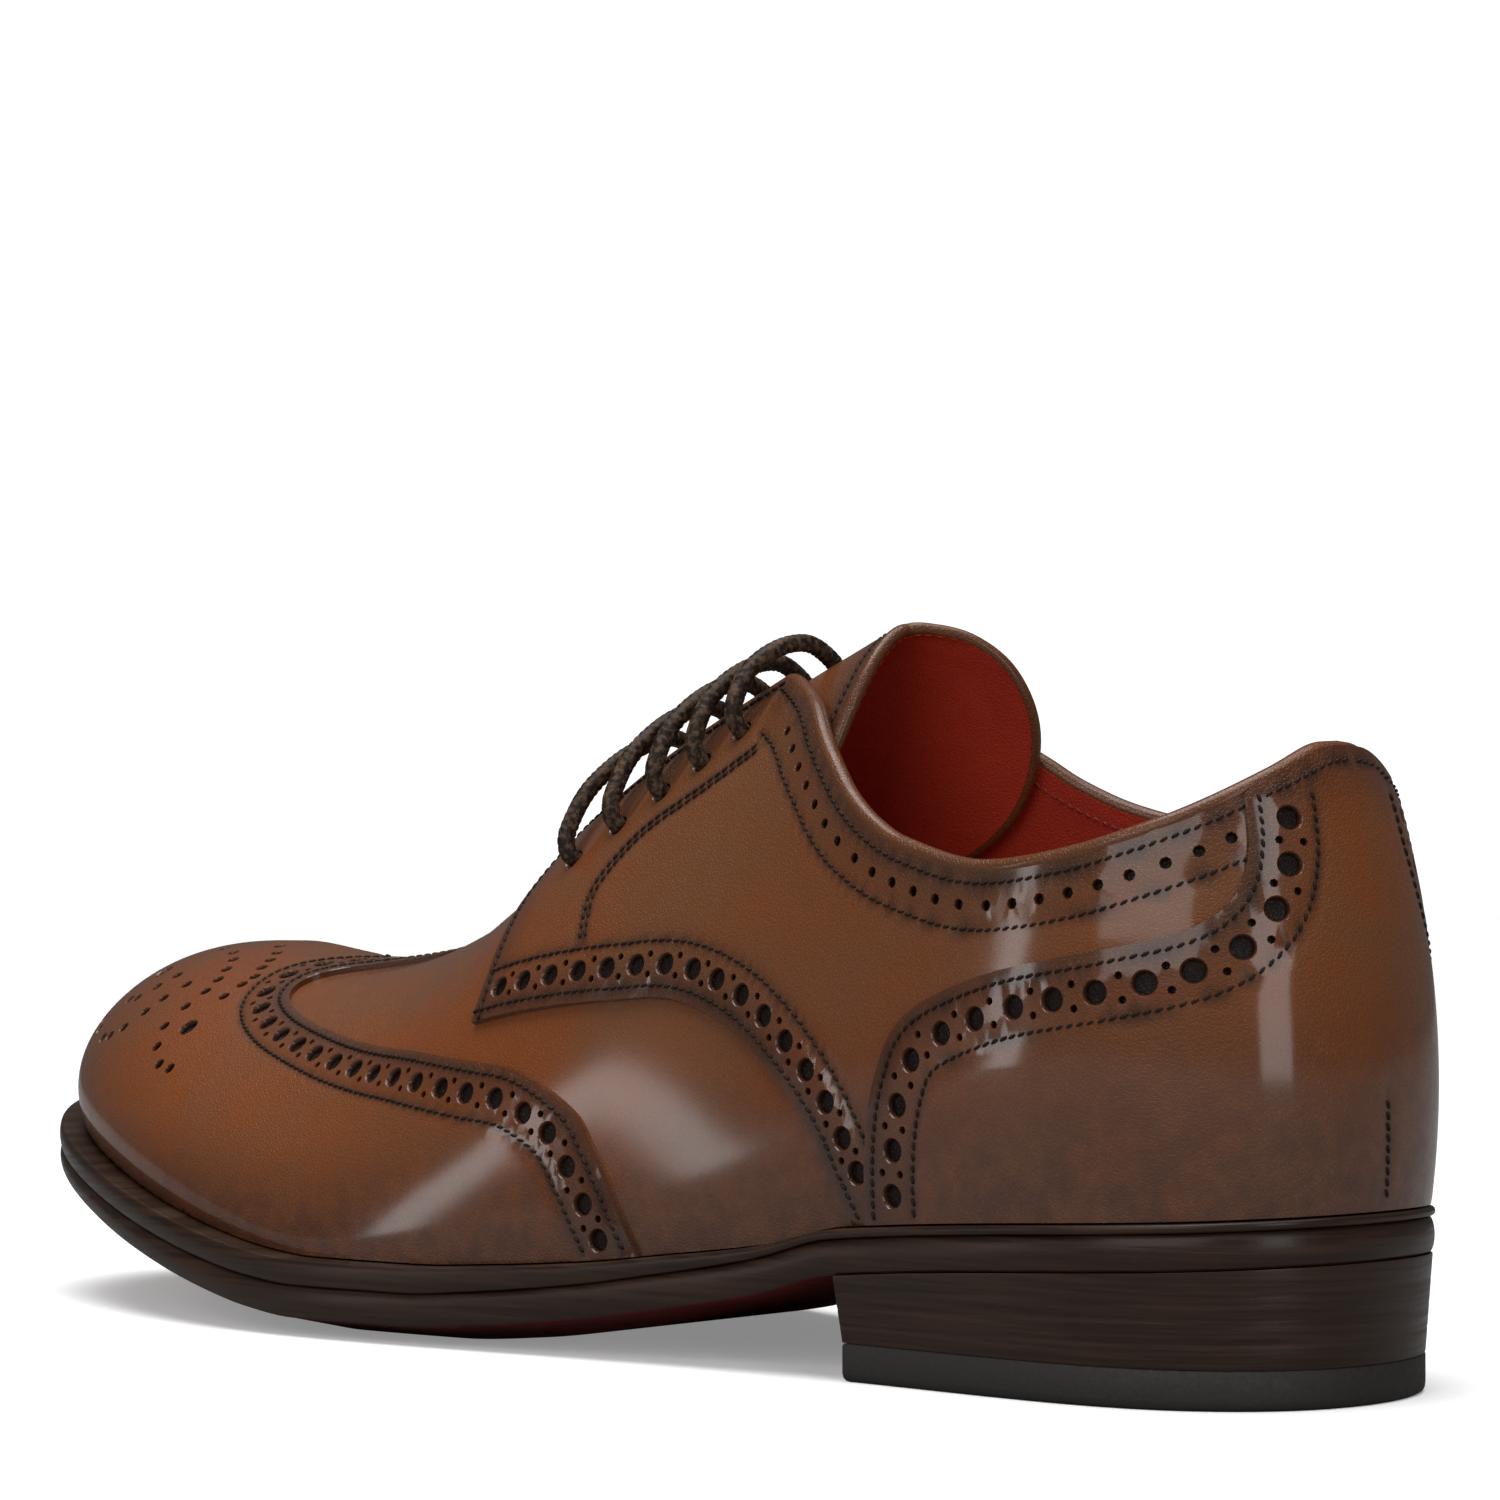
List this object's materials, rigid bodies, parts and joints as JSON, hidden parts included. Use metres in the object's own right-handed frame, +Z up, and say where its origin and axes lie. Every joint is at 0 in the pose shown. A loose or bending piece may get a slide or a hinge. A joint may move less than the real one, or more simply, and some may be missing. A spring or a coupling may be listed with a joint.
{
  "type": "brogue derby shoe",
  "caption": "Brown leather brogue derby shoe for the left foot, with wing cap, heel counter, open laced quarters, red lining, welted leather sole and stacked heel.",
  "frame": {"origin": "on the floor under the middle of the heel", "axes": "+X to the toe, +Y to the wearer's left, +Z up"},
  "size_m": [0.3056, 0.1064, 0.1199],
  "materials": {
    "brown_leather": "satin",
    "edge_leather": "satin",
    "stacked_leather": "satin",
    "heel_rubber": "matte",
    "red_lining": "matte",
    "waxed_cord": "satin"
  },
  "bodies": {
    "root": {"outsole": "edge_leather", "welt": "edge_leather", "heel_stack": "stacked_leather", "top_lift": "heel_rubber", "insole": "red_lining", "upper": "brown_leather", "quarters": "brown_leather", "wing_cap": "brown_leather", "heel_counter": "brown_leather", "tongue": "brown_leather", "lace_bar_1": "waxed_cord", "lace_bar_2": "waxed_cord", "lace_bar_3": "waxed_cord", "lace_bar_4": "waxed_cord", "lace_bar_5": "waxed_cord"}
  },
  "joints": []
}
